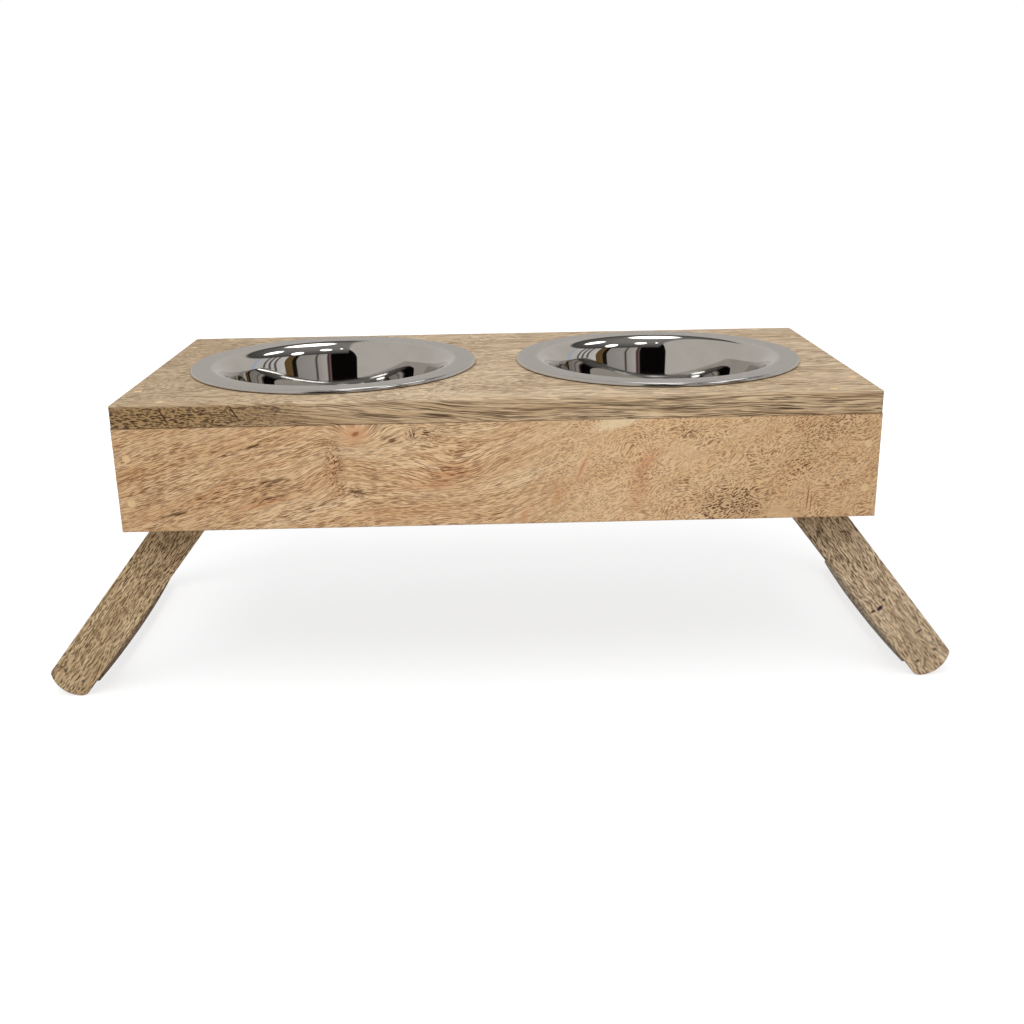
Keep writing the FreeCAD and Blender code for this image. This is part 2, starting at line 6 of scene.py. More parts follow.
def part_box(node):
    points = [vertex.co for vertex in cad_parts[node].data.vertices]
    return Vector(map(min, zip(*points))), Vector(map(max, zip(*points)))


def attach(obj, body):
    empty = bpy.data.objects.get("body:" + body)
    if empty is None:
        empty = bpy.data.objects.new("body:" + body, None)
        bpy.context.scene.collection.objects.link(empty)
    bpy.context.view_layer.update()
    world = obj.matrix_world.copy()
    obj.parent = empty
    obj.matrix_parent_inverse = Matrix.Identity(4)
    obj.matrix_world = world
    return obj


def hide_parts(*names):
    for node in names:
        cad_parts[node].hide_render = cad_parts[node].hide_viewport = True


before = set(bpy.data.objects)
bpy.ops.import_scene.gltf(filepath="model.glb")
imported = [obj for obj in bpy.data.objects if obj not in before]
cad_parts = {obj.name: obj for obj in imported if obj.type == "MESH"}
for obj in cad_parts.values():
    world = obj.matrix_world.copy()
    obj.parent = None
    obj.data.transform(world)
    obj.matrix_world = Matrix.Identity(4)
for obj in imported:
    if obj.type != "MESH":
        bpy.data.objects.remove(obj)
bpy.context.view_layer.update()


# Front apron: the front board of the bottomless box, one plank of mango wood planed and oiled.
# Its grain climbs from the left, turns round a knot, and breaks up into short pores at the right.
# Screws through its ends, under pale plugs, hold it to the end aprons.
def paint(red, green, blue):
    """Colour as the eye reads it, 0 to 255, turned into the shader's linear values."""
    steps = (value / 255 for value in (red, green, blue))
    return tuple(s / 12.92 if s <= 0.04045 else ((s + 0.055) / 1.055) ** 2.4 for s in steps) + (1.0,)


def add_node(tree, kind, inputs=(), output=0, **properties):
    """Put a node in a material, feed its inputs with values or other outputs, and hand back one output."""
    made = tree.nodes.new("ShaderNode" + kind)
    for name, value in properties.items():
        setattr(made, name, value)
    for key, value in inputs.items() if isinstance(inputs, dict) else enumerate(inputs):
        if isinstance(value, bpy.types.NodeSocket):
            tree.links.new(value, made.inputs[key])
        elif value is not None:
            made.inputs[key].default_value = value
    return made.outputs[output]


def calc(tree, operation, *values):
    """Work out one number from others."""
    return add_node(tree, "Math", values, operation=operation)


def arrow(tree, operation, *values):
    """Work out one point or direction from others."""
    return add_node(tree, "VectorMath", values, operation=operation)


def ease(tree, value, low, high, first=0.0, last=1.0):
    """Soft step of a value from first, at low, to last, at high."""
    return add_node(tree, "MapRange", (value, low, high, first, last), interpolation_type="SMOOTHSTEP")


def speckle(tree, point, size, detail=2.0, seed=0.0):
    """Noise whose grains are about this long, deep and high, in metres."""
    close = arrow(tree, "MULTIPLY", point, tuple(1 / s for s in size))
    return add_node(tree, "TexNoise", {"Vector": close, "W": seed, "Scale": 1.0, "Detail": detail},
                    noise_dimensions="4D")


def dashes(tree, grain, size, fill, seed=0.0, faintest=0.4):
    """Open pores: one dark dash along the fibres in each cell of this size, some fainter than others."""
    close = arrow(tree, "MULTIPLY_ADD", grain, tuple(1 / s for s in size), (seed, seed, seed))
    cell = add_node(tree, "TexVoronoi", {"Vector": close, "Scale": 1.0}).node
    depth = add_node(tree, "SeparateColor", (cell.outputs["Color"],))
    inside = ease(tree, cell.outputs["Distance"], fill * 0.7, fill, 1.0, 0.0)
    return calc(tree, "MULTIPLY", inside, calc(tree, "MULTIPLY_ADD", depth, 1 - faintest, faintest))


def patch(tree, point, place, half, turn=0.0, core=0.0):
    """1 at the middle of a soft oval at place, 0 at its edge: half lengths in metres, turned about Y."""
    turned = (0.0, math.radians(turn), 0.0)
    local = add_node(tree, "Mapping", (point, place, turned, half), vector_type="TEXTURE")
    away = add_node(tree, "VectorMath", (local,), output="Value", operation="LENGTH")
    return ease(tree, away, core, 1.0, 1.0, 0.0)


MARK_DEPTH = 0.03


def patches(tree, spot, places):
    """Soft ovals on a board's face, added up: place along and up, half sizes, turn and weight of each."""
    total = 0.0
    for x, z, half_x, half_z, turn, weight in places:
        oval = patch(tree, spot, (x, 0, z), (half_x, MARK_DEPTH, half_z), turn)
        total = add_node(tree, "Math", (oval, weight, total), operation="MULTIPLY_ADD")
    return total


def blend(tree, amount, first, second):
    """Pass from one value to another by an amount."""
    return add_node(tree, "Mix", {0: amount, 2: first, 3: second}, data_type="FLOAT")


def tint(tree, amount, under, over):
    """Lay one colour over another by an amount."""
    return add_node(tree, "Mix", {0: amount, 6: under, 7: over}, output=2, data_type="RGBA")


def tones(tree, amount, *stops):
    """Colour ramp: each stop is its place from 0 to 1 and its colour."""
    out = add_node(tree, "ValToRGB", (amount,))
    ramp = out.node.color_ramp
    while len(ramp.elements) < len(stops):
        ramp.elements.new(1.0)
    for element, (place, colour) in zip(ramp.elements, stops):
        element.position = place
        element.color = colour
    return out


def begin_material(name):
    """New material with a principled shader: its tree, its shader, and the point on the object."""
    made = bpy.data.materials.new(name)
    made.use_nodes = True
    tree = made.node_tree
    shader = tree.nodes["Principled BSDF"]
    point = add_node(tree, "TexCoord", output="Object")
    return made, tree, shader, point


def sway(tree, point, amount, size, seed=0.0):
    """Fibres that wander off the straight by up to half an amount, in metres."""
    drift = speckle(tree, point, size, 1.0, seed)
    side = calc(tree, "MULTIPLY_ADD", drift, amount, -amount / 2)
    return arrow(tree, "ADD", point, add_node(tree, "CombineXYZ", (0.0, side, side)))


def finish_wood(tree, shader, colour, pores, fibre, depth=0.0002):
    """Oiled matt surface: pores are sunk and dull, fibres stand up a little."""
    lift = calc(tree, "MULTIPLY_ADD", pores, -1.0, calc(tree, "MULTIPLY", fibre, 0.35))
    relief = add_node(tree, "Bump", {"Strength": 0.5, "Distance": depth, "Height": lift})
    tree.links.new(colour, shader.inputs["Base Color"])
    tree.links.new(relief, shader.inputs["Normal"])
    tree.links.new(calc(tree, "MULTIPLY_ADD", pores, 0.2, 0.52), shader.inputs["Roughness"])
    shader.inputs["Specular IOR Level"].default_value = 0.3


def dress(name, material):
    """Give a carried-over node its material."""
    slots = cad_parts[name].data.materials
    slots.clear()
    slots.append(material)


PORE_WARM = paint(106, 60, 24)
PORE_DEEP = paint(74, 52, 30)
FRONT_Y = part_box("front_apron")[0][1]
APRON_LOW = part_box("front_apron")[0][2]
APRON_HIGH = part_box("front_apron")[1][2]
CLIMB_TO = -0.120
CLIMB_SLOPE = -0.30
STEEP_FROM = -0.010
STEEP_SLOPE = -0.42
SHORT_PORES = (-0.02, 0.11)
JOINT_SHADE = (APRON_HIGH - 0.0011, APRON_HIGH - 0.0004)
apron_wood, tree, shader, point = begin_material("mango_front_apron")
spot = arrow(tree, "SUBTRACT", point, (0, FRONT_Y, APRON_LOW))
along = add_node(tree, "SeparateXYZ", (spot,), output="X")
height = add_node(tree, "SeparateXYZ", (point,), output="Z")
climb = calc(tree, "SMOOTH_MIN", calc(tree, "ADD", along, -CLIMB_TO), 0.0, 0.06)
climb = calc(tree, "MULTIPLY", climb, CLIMB_SLOPE)
steep = calc(tree, "SMOOTH_MAX", calc(tree, "ADD", along, -STEEP_FROM), 0.0, 0.04)
steep = calc(tree, "MULTIPLY", steep, STEEP_SLOPE)
knots = patches(tree, spot, (
    (-0.1133, 0.0778, 0.030, 0.020, 0, 0.014),
    (-0.1280, 0.0445, 0.040, 0.030, 20, -0.008),
    (-0.0400, 0.0445, 0.050, 0.028, -12, 0.010),
    (-0.0660, 0.0795, 0.030, 0.018, 0, -0.006),
    (0.1900, 0.0135, 0.080, 0.045, 0, 0.020),
    (0.2450, -0.0015, 0.060, 0.035, 0, 0.014),
))
rise = calc(tree, "ADD", calc(tree, "ADD", climb, steep), knots)
bent = arrow(tree, "ADD", spot, add_node(tree, "CombineXYZ", (0.0, 0.0, rise)))
grain = sway(tree, sway(tree, bent, 0.007, (0.08, 0.05, 0.035)), 0.0012, (0.014, 0.01, 0.006), 9.0)
curl = add_node(tree, "TexNoise", {"Vector": spot, "W": 3.0, "Scale": 42.0, "Detail": 1.0}, output="Color",
                noise_dimensions="4D")
curl = arrow(tree, "MULTIPLY_ADD", curl, (0.022, 0.022, 0.022), (-0.011, -0.011, -0.011))
slant = add_node(tree, "CombineXYZ", (0.0, 0.0, calc(tree, "MULTIPLY", along, -0.40)))
curly = arrow(tree, "ADD", arrow(tree, "ADD", spot, slant), curl)
band = speckle(tree, grain, (0.14, 0.03, 0.018), 2.0, 1.0)
right_side = ease(tree, along, *SHORT_PORES)
figure = blend(tree, right_side, speckle(tree, grain, (0.050, 0.006, 0.0038), 2.0, 2.0),
               speckle(tree, curly, (0.014, 0.014, 0.011), 2.0, 22.0))
fibre = blend(tree, right_side, speckle(tree, grain, (0.014, 0.0009, 0.0006), 1.0, 4.0),
              speckle(tree, curly, (0.0032, 0.0011, 0.0009), 1.0, 23.0))
shade = calc(tree, "MULTIPLY_ADD", figure, 0.5, calc(tree, "MULTIPLY", band, 0.5))
colour = tones(tree, shade, (0.34, paint(208, 163, 116)), (0.5, paint(229, 193, 149)),
               (0.66, paint(237, 209, 169)))
colour = tint(tree, calc(tree, "MULTIPLY", right_side, 0.55), colour, paint(227, 190, 144))
ends = ease(tree, calc(tree, "ABSOLUTE", along), 0.10, 0.30, 0.0, 0.30)
colour = tint(tree, ends, colour, paint(186, 146, 100))
streaky = calc(tree, "MAXIMUM", dashes(tree, grain, (0.0140, 0.0011, 0.0008), 0.44, 5.0, 0.5),
               dashes(tree, grain, (0.0075, 0.0010, 0.0007), 0.44, 6.0, 0.5))
speckled = calc(tree, "MAXIMUM", dashes(tree, curly, (0.0048, 0.0014, 0.0012), 0.43, 7.0, 0.5),
                dashes(tree, curly, (0.0032, 0.0012, 0.0010), 0.40, 17.0, 0.5))
burl = patches(tree, spot, (
    (-0.0620, 0.0765, 0.024, 0.013, 0, 1.0),
    (-0.1317, 0.0515, 0.013, 0.040, 0, 1.0),
    (-0.1200, 0.0335, 0.020, 0.010, 15, 0.9),
))
dotty = calc(tree, "MINIMUM", calc(tree, "ADD", right_side, burl), 1.0)
stains = patches(tree, spot, (
    (-0.1960, 0.0690, 0.014, 0.0030, -16, 1.0),
    (-0.2150, 0.0625, 0.010, 0.0020, -16, 0.7),
    (-0.1840, 0.0360, 0.024, 0.0080, -12, 0.7),
    (-0.2610, 0.0150, 0.016, 0.0045, -14, 0.8),
    (-0.1890, 0.0235, 0.018, 0.0035, -14, 0.5),
    (-0.1150, 0.0295, 0.014, 0.0045, 8, 0.9),
    (-0.0620, 0.0770, 0.022, 0.0110, 0, 0.6),
    (-0.1317, 0.0515, 0.014, 0.0400, 0, 0.45),
    (-0.0860, 0.0730, 0.012, 0.0035, 6, 0.7),
    (-0.0420, 0.0830, 0.010, 0.0030, 0, 0.8),
    (0.1880, 0.0120, 0.046, 0.0230, 0, 0.85),
    (0.2350, 0.0075, 0.016, 0.0060, 0, 0.6),
    (0.2450, 0.0500, 0.024, 0.0220, 0, 0.30),
    (0.2650, 0.0750, 0.045, 0.0150, 0, 0.34),
    (0.1530, 0.0740, 0.018, 0.0080, 0, 0.5),
    (0.1450, 0.0330, 0.012, 0.0050, 0, 0.4),
))
calm = patches(tree, spot, (
    (-0.1133, 0.0778, 0.018, 0.0150, 0, 0.9),
    (0.2290, 0.0060, 0.028, 0.0120, 0, 0.9),
    (0.1500, 0.0540, 0.032, 0.0160, 0, 0.6),
    (0.0980, 0.0855, 0.032, 0.0090, -18, 1.0),
    (0.0660, 0.0465, 0.020, 0.0060, -66, 0.6),
))
clumps = speckle(tree, grain, (0.06, 0.02, 0.011), 2.0, 8.0)
pores = calc(tree, "MULTIPLY", blend(tree, dotty, streaky, speckled), calc(tree, "SUBTRACT", 1.0, calm))
strength = ease(tree, clumps, 0.36, 0.64, 0.65, 1.0)
strength = calc(tree, "MULTIPLY", strength, ease(tree, along, *SHORT_PORES, 1.0, 0.9))
warm_pores = calc(tree, "MINIMUM", calc(tree, "MULTIPLY", pores, calc(tree, "ADD", strength, stains)), 1.0)
deep_pores = calc(tree, "MINIMUM", calc(tree, "MULTIPLY", pores, stains), 0.9)
threads = calc(tree, "MULTIPLY", ease(tree, fibre, 0.44, 0.58), ease(tree, along, *SHORT_PORES, 0.34, 0.26))
colour = tint(tree, threads, colour, paint(166, 118, 74))
colour = tint(tree, calc(tree, "MULTIPLY", stains, 0.26), colour, paint(128, 98, 68))
reddish = patches(tree, spot, (
    (-0.1133, 0.0778, 0.018, 0.0150, 0, 0.8),
    (-0.1317, 0.0515, 0.012, 0.0380, 0, 0.35),
    (-0.1880, 0.0225, 0.034, 0.0055, -12, 0.7),
    (-0.0380, 0.0455, 0.030, 0.0110, -14, 0.6),
    (-0.0600, 0.0330, 0.050, 0.0060, -6, 0.4),
    (0.0660, 0.0465, 0.017, 0.0026, -66, 0.9),
    (0.0460, 0.0235, 0.016, 0.0060, -80, 0.6),
    (0.0200, 0.0080, 0.016, 0.0050, -60, 0.7),
    (0.1120, 0.0315, 0.030, 0.0110, -82, 0.6),
    (0.1190, 0.0520, 0.018, 0.0100, -40, 0.6),
))
colour = tint(tree, calc(tree, "MULTIPLY", reddish, 0.8), colour, paint(196, 134, 88))
sapwood = patch(tree, spot, (0.098, 0, 0.0855), (0.030, MARK_DEPTH, 0.0075), -18, 0.6)
colour = tint(tree, calc(tree, "MULTIPLY", sapwood, 0.85), colour, paint(230, 206, 166))
heart = patch(tree, spot, (-0.1133, 0, 0.0778), (0.0045, MARK_DEPTH, 0.0024), -25, 0.3)
long_crack = patch(tree, spot, (0.2490, 0, 0.0175), (0.0009, MARK_DEPTH, 0.0165), 4, 0.3)
short_crack = patch(tree, spot, (0.2518, 0, 0.0140), (0.0007, MARK_DEPTH, 0.0110), 3, 0.3)
marks = calc(tree, "MAXIMUM", heart, calc(tree, "MAXIMUM", long_crack, short_crack))
dark_streaks = patches(tree, spot, (
    (-0.1960, 0.0690, 0.0100, 0.0015, -16, 0.9),
    (-0.1790, 0.0400, 0.0130, 0.0013, -12, 0.6),
    (-0.1760, 0.0285, 0.0100, 0.0014, -10, 0.7),
    (-0.2590, 0.0150, 0.0110, 0.0017, -14, 0.8),
    (-0.1140, 0.0295, 0.0110, 0.0016, 8, 0.8),
))
colour = tint(tree, calc(tree, "MULTIPLY", warm_pores, 0.95), colour, PORE_WARM)
colour = tint(tree, deep_pores, colour, PORE_DEEP)
colour = tint(tree, calc(tree, "MULTIPLY", marks, 0.85), colour, paint(142, 84, 50))
colour = tint(tree, dark_streaks, colour, paint(84, 58, 32))
joint = ease(tree, height, *JOINT_SHADE)
joint = calc(tree, "MULTIPLY", joint, ease(tree, along, -0.25, 0.25, 0.8, 0.45))
colour = tint(tree, joint, colour, paint(74, 54, 36))
finish_wood(tree, shader, colour, blend(tree, right_side, streaky, speckled), fibre)
dress("front_apron", apron_wood)

# Rear and end aprons: planks of the same mango wood. The rear one is as long as the front one,
# and the end ones are butted between the two, with screws into their end grain.
# They have the same tan colour and short dark pores, with a straighter grain.
RED_TAN = (paint(188, 145, 102), paint(212, 174, 131), paint(225, 194, 153))
APRON_PORE = (0.0110, 0.0012)


def plain_mango(name, turn, shift, shades, pore_size, pore_colour, faintest=0.4, marks=(), crowd_and_shade=None):
    """Straight-grained mango in three shades, dark to light, turned so that X runs along the fibres.

    Marks are dark specks. The last argument gives the place and half size of a part with more pores,
    darkened too as painted shade."""
    made, tree, shader, point = begin_material(name)
    turned = tuple(math.radians(angle) for angle in turn)
    own = add_node(tree, "Mapping", (point, shift, turned), vector_type="POINT")
    grain = sway(tree, sway(tree, own, 0.012, (0.09, 0.05, 0.04)), 0.0014, (0.012, 0.006, 0.006), 9.0)
    band = speckle(tree, grain, (0.16, 0.024, 0.024), 2.0, 1.0)
    figure = speckle(tree, grain, (0.060, 0.005, 0.005), 2.0, 2.0)
    fibre = speckle(tree, grain, (0.016, 0.0010, 0.0010), 1.0, 4.0)
    shade = calc(tree, "MULTIPLY_ADD", figure, 0.5, calc(tree, "MULTIPLY", band, 0.5))
    colour = tones(tree, shade, (0.34, shades[0]), (0.5, shades[1]), (0.66, shades[2]))
    length, width = pore_size
    thread = speckle(tree, grain, (length * 2.5, width * 0.7, width * 0.7), 2.0, 6.0)
    pores = calc(tree, "MAXIMUM", dashes(tree, grain, (length, width, width), 0.45, 5.0, faintest),
                 dashes(tree, grain, (length * 0.6, width * 0.9, width * 0.9), 0.40, 15.0, faintest))
    pores = calc(tree, "MAXIMUM", pores, ease(tree, thread, 0.54, 0.62, 0.0, faintest))
    clumps = speckle(tree, grain, (0.05, 0.012, 0.012), 2.0, 8.0)
    pores = calc(tree, "MULTIPLY", pores, ease(tree, clumps, 0.36, 0.64, faintest + 0.25, 1.0))
    colour = tint(tree, ease(tree, fibre, 0.44, 0.58, 0.0, 0.6), colour, shades[0])
    # Painted shade with more pores: this part's wood is darkened towards the darkest shade, and its pores
    # are made stronger.
    if crowd_and_shade:
        crowd_and_shade_mask = patch(tree, point, *crowd_and_shade)
        colour = tint(tree, calc(tree, "MULTIPLY", crowd_and_shade_mask, 0.8), colour, shades[0])
        pores = calc(tree, "MULTIPLY", pores, calc(tree, "MULTIPLY_ADD", crowd_and_shade_mask, 0.25, 0.95))
    colour = tint(tree, calc(tree, "MINIMUM", pores, 1.0), colour, pore_colour)
    for place, half, lean in marks:
        colour = tint(tree, patch(tree, point, place, half, lean, 0.4), colour, paint(44, 36, 46))
    finish_wood(tree, shader, colour, pores, fibre)
    return made


rear_wood = plain_mango("mango_rear_apron", (0, 0, 0), (0.9, 0.3, 0.1), RED_TAN, APRON_PORE, PORE_WARM)
dress("rear_apron", rear_wood)
for name, start in (("left_end_apron", 1.7), ("right_end_apron", 2.6)):
    end_wood = plain_mango(f"mango_{name}", (0, 0, 90), (start, 0.0, 0.2), RED_TAN, APRON_PORE, PORE_WARM)
    dress(name, end_wood)

# Top board: one wide mango plank, greyer than the aprons, with fine dark streaks along its length.
# Its edge shows the darker, coarser figure of the plank's side, with hairline checks at the left.
# Screws under filled holes hold it down on the aprons.
TOP_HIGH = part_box("top_board")[1][2]
EDGE_FADE = (-0.0032, -0.0008)
LEFT_END = (-0.25, -0.11)
CHECK_HALF = (0.0009, 0.012, 0.0105)
top_wood, tree, shader, point = begin_material("mango_top_board")
spot = arrow(tree, "SUBTRACT", point, (0, FRONT_Y, TOP_HIGH))
along = add_node(tree, "SeparateXYZ", (spot,), output="X")
height = add_node(tree, "SeparateXYZ", (spot,), output="Z")
edge = ease(tree, height, *EDGE_FADE, 1.0, 0.0)
left_end = ease(tree, along, *LEFT_END, 1.0, 0.0)
dip = calc(tree, "MULTIPLY", calc(tree, "SMOOTH_MIN", along, 0.03, 0.08), 0.11)
bent = arrow(tree, "ADD", spot, add_node(tree, "CombineXYZ", (0.0, 0.0, dip)))
grain = sway(tree, sway(tree, bent, 0.014, (0.12, 0.06, 0.05), 11.0), 0.0016, (0.016, 0.008, 0.006), 19.0)
band = speckle(tree, grain, (0.22, 0.030, 0.012), 2.0, 12.0)
figure = speckle(tree, grain, (0.07, 0.009, 0.004), 2.0, 13.0)
fibre = speckle(tree, grain, (0.018, 0.0018, 0.0009), 1.0, 14.0)
shade = calc(tree, "MULTIPLY_ADD", figure, 0.55, calc(tree, "MULTIPLY", band, 0.5))
colour = tones(tree, shade, (0.34, paint(171, 146, 114)), (0.5, paint(204, 179, 146)),
               (0.66, paint(218, 196, 164)))
colour = tint(tree, ease(tree, along, -0.30, -0.02, 0.45, 0.0), colour, paint(160, 135, 102))
edge_shade = tones(tree, shade, (0.36, paint(176, 146, 109)), (0.5, paint(203, 173, 135)),
                   (0.64, paint(219, 192, 155)))
edge_shade = tint(tree, calc(tree, "MULTIPLY", left_end, 0.85), edge_shade, paint(158, 124, 76))
colour = tint(tree, edge, colour, edge_shade)
threads = ease(tree, speckle(tree, grain, (0.040, 0.0026, 0.0007), 2.0, 20.0), 0.50, 0.60, 0.0, 0.85)
long_pores = calc(tree, "MAXIMUM", dashes(tree, grain, (0.040, 0.0028, 0.0010), 0.40, 15.0, 0.7), threads)
short_pores = calc(tree, "MAXIMUM", dashes(tree, grain, (0.0056, 0.0022, 0.0012), 0.48, 16.0, 0.8),
                   dashes(tree, grain, (0.0036, 0.0018, 0.0010), 0.44, 21.0, 0.8))
dense = calc(tree, "MULTIPLY", edge, left_end)
pores = blend(tree, dense, long_pores, short_pores)
clumps = speckle(tree, grain, (0.08, 0.02, 0.008), 2.0, 18.0)
weight = calc(tree, "MULTIPLY_ADD", edge, 0.36, 0.64)
clumps = calc(tree, "MULTIPLY_ADD", dense, 0.2, clumps)
clumps = calc(tree, "MULTIPLY_ADD", edge, ease(tree, along, 0.10, 0.28, 0.0, 0.10), clumps)
weight = calc(tree, "MULTIPLY", weight, ease(tree, clumps, 0.34, 0.62, 0.55, 1.0))
pore_stain = calc(tree, "MULTIPLY", pores, weight)
checks = 0.0
for place, lean in (((-0.2625, 0, -0.0092), 26), ((-0.2070, 0, -0.0080), 30)):
    checks = calc(tree, "MAXIMUM", checks, patch(tree, spot, place, CHECK_HALF, -lean, 0.45))
colour = tint(tree, ease(tree, fibre, 0.42, 0.60, 0.0, 0.42), colour, paint(146, 120, 88))
colour = tint(tree, pore_stain, colour, paint(58, 36, 16))
colour = tint(tree, calc(tree, "MULTIPLY", checks, 0.9), colour, paint(56, 36, 24))
finish_wood(tree, shader, colour, calc(tree, "MAXIMUM", pore_stain, checks), fibre)
dress("top_board", top_wood)

# Plugs and box screws: zinc-plated screws sunk in the boards, each hole filled with pale wood filler.
# The filler is sanded flush with the board and is a little paler than the wood round it.
filler, tree, shader, point = begin_material("wood_filler")
crumb = speckle(tree, point, (0.0012, 0.0012, 0.0012), 3.0)
colour = tones(tree, crumb, (0.35, paint(212, 176, 128)), (0.65, paint(226, 195, 150)))
finish_wood(tree, shader, colour, ease(tree, crumb, 0.5, 0.3), crumb)
for name in ("top_plugs", "front_apron_plugs", "rear_apron_plugs"):
    dress(name, filler)
zinc, tree, shader, point = begin_material("zinc_plating")
cloud = speckle(tree, point, (0.0025, 0.0025, 0.0025), 3.0)
colour = tones(tree, cloud, (0.3, paint(150, 148, 144)), (0.7, paint(196, 195, 192)))
tree.links.new(colour, shader.inputs["Base Color"])
tree.links.new(ease(tree, cloud, 0.3, 0.7, 0.28, 0.46), shader.inputs["Roughness"])
shader.inputs["Metallic"].default_value = 1.0
for name in ("top_screws", "front_apron_screws", "rear_apron_screws"):
    dress(name, zinc)

# Pivots: a pan-head screw through the top of each leg into a long apron, a washer on each side of the leg.
# Zinc-plated steel; they carry the folding leg frames inside the box.
CORNERS = [(side, end) for side in ("left", "right") for end in ("front", "rear")]
for side, end in CORNERS:
    for part in ("pivot_screw", "spacer_washer", "head_washer"):
        dress(f"{side}_{end}_{part}", zinc)

# Leg frames: two flat legs of grey-brown mango wood and a crossbar between their feet.
# The legs have dark dashes along them and rounded feet; two brads through each foot hold the crossbar.
GREY_TAN = (paint(178, 149, 110), paint(210, 182, 141), paint(224, 199, 160))
LIGHT_TAN = (paint(190, 163, 128), paint(223, 197, 162), paint(236, 213, 180))
# The crossbars' colours hold painted light: the left one is darkened as painted shade, the right one made
# paler as painted light on its shaded inner face.
SHADOWED_BAR_TAN = (paint(132, 108, 80), paint(154, 130, 100), paint(168, 145, 115))
LIT_BAR_GREY = (paint(176, 160, 136), paint(196, 180, 156), paint(206, 191, 168))
PORE_GREY = paint(74, 46, 18)
LEG_PORE = (0.0100, 0.0010)
LEG_FAINTEST = 0.65
BAR_PORE = (0.0130, 0.0014)
LEG_FACE_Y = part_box("right_front_leg")[0][1]
LEG_SPLAY = 38
ink = tuple(((x, LEG_FACE_Y, TOP_HIGH + z), half, lean) for x, z, half, lean in (
    (0.3235, -0.1949, (0.0042, 0.004, 0.0026), -50),
    (0.3260, -0.1875, (0.0028, 0.004, 0.0011), -30),
    (0.3177, -0.1980, (0.0032, 0.004, 0.0013), -40),
    (0.3592, -0.2172, (0.0046, 0.004, 0.0010), -35),
))
# The legs' tops, just under the aprons, get more pores and painted shade: their wood is darkened where the
# box shades them.
SHADE_CROWD_OUT = 0.265
SHADE_CROWD_DROP = 0.010
SHADE_CROWD_HALF = (0.070, 0.040, 0.085)
for side, out, leg_shades, bar_shades in (
    ("left", -1, GREY_TAN, SHADOWED_BAR_TAN),
    ("right", 1, LIGHT_TAN, LIT_BAR_GREY),
):
    lean = out * (LEG_SPLAY - 90)
    for end, start in (("front", 0.3), ("rear", 1.4)):
        leg_name = f"{side}_{end}_leg"
        marks = ink if leg_name == "right_front_leg" else ()
        leg_front_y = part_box(leg_name)[0][1]
        shade_crowd_at = (out * SHADE_CROWD_OUT, leg_front_y, APRON_LOW - SHADE_CROWD_DROP)
        leg_wood = plain_mango(f"mango_{leg_name}", (0, lean, 0), (start, 0.1, 0.4), leg_shades, LEG_PORE,
                               PORE_GREY, LEG_FAINTEST, marks, (shade_crowd_at, SHADE_CROWD_HALF))
        dress(leg_name, leg_wood)
    # Each crossbar gets its own painted shade or painted light in its wood colour.
    bar_name = f"{side}_crossbar"
    bar_wood = plain_mango(f"mango_{bar_name}", (0, 0, 90), (0.6, 0.2, 0.5), bar_shades, BAR_PORE, PORE_GREY)
    dress(bar_name, bar_wood)
brad_steel, tree, shader, point = begin_material("brad_steel")
cloud = speckle(tree, point, (0.0008, 0.0008, 0.0008), 2.0)
colour = tones(tree, cloud, (0.35, paint(86, 79, 62)), (0.65, paint(128, 118, 94)))
tree.links.new(colour, shader.inputs["Base Color"])
tree.links.new(ease(tree, cloud, 0.3, 0.7, 0.4, 0.6), shader.inputs["Roughness"])
shader.inputs["Metallic"].default_value = 0.6
for side, end in CORNERS:
    dress(f"{side}_{end}_foot_brads", brad_steel)

# Bowls: pressed from one sheet of stainless steel, mirror-polished inside, with a flat satin flange.
# The flange's edge is turned down and rests on the top board; the bowl lifts straight out of its hole.
BOWL_OFFSET = 0.1455
RIM_RADIUS = 0.127
RIM_BEND = 0.0026
FLANGE_RISE = 0.0036
SEAT_GAP = 0.00015
FLANGE_START = 0.111
MOUTH_BEND = 0.019
BASE_BEND = 0.030
BOWL_DEPTH = 0.080
WALL_LEAN = math.radians(11)
STEEL = 0.0008
FLAT_INSET = 0.001
RING_POINTS = 192
SATIN_START = FLANGE_START - 0.006
POLISHED_EDGE = (RIM_RADIUS - 0.0020, RIM_RADIUS - 0.0006)
RIM_SHADOW_REACH = (RIM_RADIUS - 0.0030, RIM_RADIUS - 0.0020)
RIM_SHADOW_HEIGHT = (0.0006, 0.0014)


def bend_stations(centre_r, centre_z, radius, first, last, steps):
    """Places along a bend of the bowl's profile, as radius and height, from one angle to another."""
    for step in range(steps + 1):
        angle = first + (last - first) * step / steps
        yield centre_r + radius * math.cos(angle), centre_z + radius * math.sin(angle)


